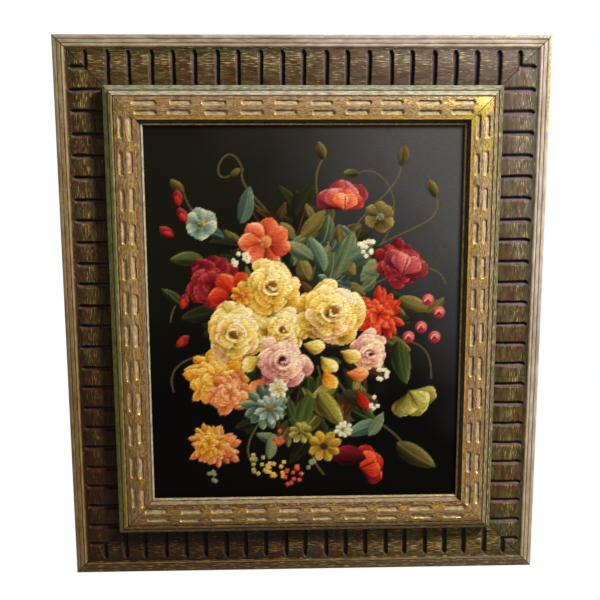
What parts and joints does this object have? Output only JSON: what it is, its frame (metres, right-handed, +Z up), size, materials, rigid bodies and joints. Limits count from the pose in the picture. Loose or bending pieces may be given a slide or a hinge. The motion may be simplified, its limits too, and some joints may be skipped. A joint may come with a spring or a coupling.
{
  "type": "framed oil painting",
  "caption": "Upright oil painting of flowers on a stretched canvas, in a wide wooden frame with a cross-gouged outer rail and a raised carved moulding.",
  "frame": {"origin": "on the flat back of the top rail, at the middle of its length and 50 mm below the frame's top edge", "axes": "+Z up along the longer side, +X to the right of a viewer, -Y out of the painted face and +Y out of the back, towards the wall"},
  "size_m": [0.772, 0.0676, 0.874],
  "materials": {
    "outer_frame": "painted umber and olive over wood, dry-brushed and worn",
    "carved_moulding": "taupe paint and worn gold leaf over red clay, with sage green reeds",
    "slip": "cream paint with a worn gold edge",
    "painted_canvas": "oil paint on woven canvas, varnished",
    "stretcher": "bare aged pine",
    "hanger": "dull zinc-plated steel"
  },
  "bodies": {
    "root": {"outer_rail_top": "outer_frame", "outer_rail_bottom": "outer_frame", "outer_rail_left": "outer_frame", "outer_rail_right": "outer_frame", "carved_moulding_top": "carved_moulding", "carved_moulding_bottom": "carved_moulding", "carved_moulding_left": "carved_moulding", "carved_moulding_right": "carved_moulding", "slip_top": "slip", "slip_bottom": "slip", "slip_left": "slip", "slip_right": "slip", "canvas": "painted_canvas", "stretcher_top": "stretcher", "stretcher_bottom": "stretcher", "stretcher_left": "stretcher", "stretcher_right": "stretcher", "hanger_left": "hanger", "hanger_right": "hanger"}
  },
  "joints": []
}
